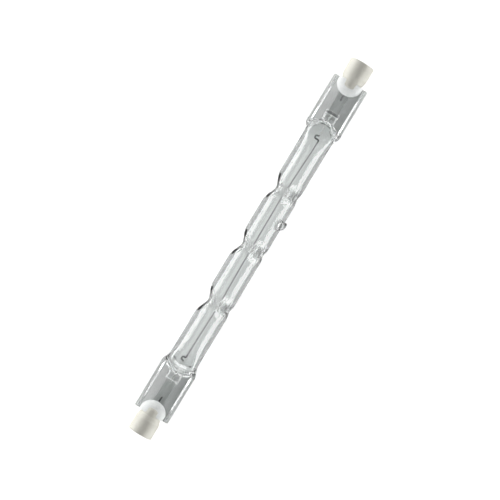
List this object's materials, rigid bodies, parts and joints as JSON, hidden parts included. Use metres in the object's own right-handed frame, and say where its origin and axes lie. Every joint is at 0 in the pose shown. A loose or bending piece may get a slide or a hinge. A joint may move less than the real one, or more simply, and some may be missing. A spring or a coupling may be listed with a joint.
{
  "type": "linear halogen bulb",
  "caption": "Double-ended linear halogen bulb: squeezed quartz tube with exhaust tip, flat pinch seals with side rails, and ceramic ends with recessed contacts.",
  "frame": {"origin": "middle of the bulb on the tube's axis", "axes": "+X along the tube towards the end nearer the exhaust tip, +Z square to the flat pinch seals, +Y across the seals away from the exhaust tip"},
  "size_m": [0.1176, 0.0106, 0.0085],
  "materials": {
    "quartz": "clear fused quartz, fire polished, with faint draw lines",
    "ceramic": "dry-pressed steatite, unglazed, satin off-white",
    "cement": "fine-grained white base cement",
    "contact_metal": "nickel-plated, turned",
    "molybdenum": "grey metal, satin, seen through quartz",
    "tungsten": "dark grey coiled wire"
  },
  "bodies": {
    "root": {"quartz_envelope": "quartz", "ceramic_cap_left": "ceramic", "ceramic_cap_right": "ceramic", "base_cement_left": "cement", "base_cement_right": "cement", "contact_button_left": "contact_metal", "contact_button_right": "contact_metal", "outer_lead_left": "molybdenum", "outer_lead_right": "molybdenum", "sealing_foil_left": "molybdenum", "sealing_foil_right": "molybdenum", "inner_lead_left": "molybdenum", "inner_lead_right": "molybdenum", "filament": "tungsten"}
  },
  "joints": []
}
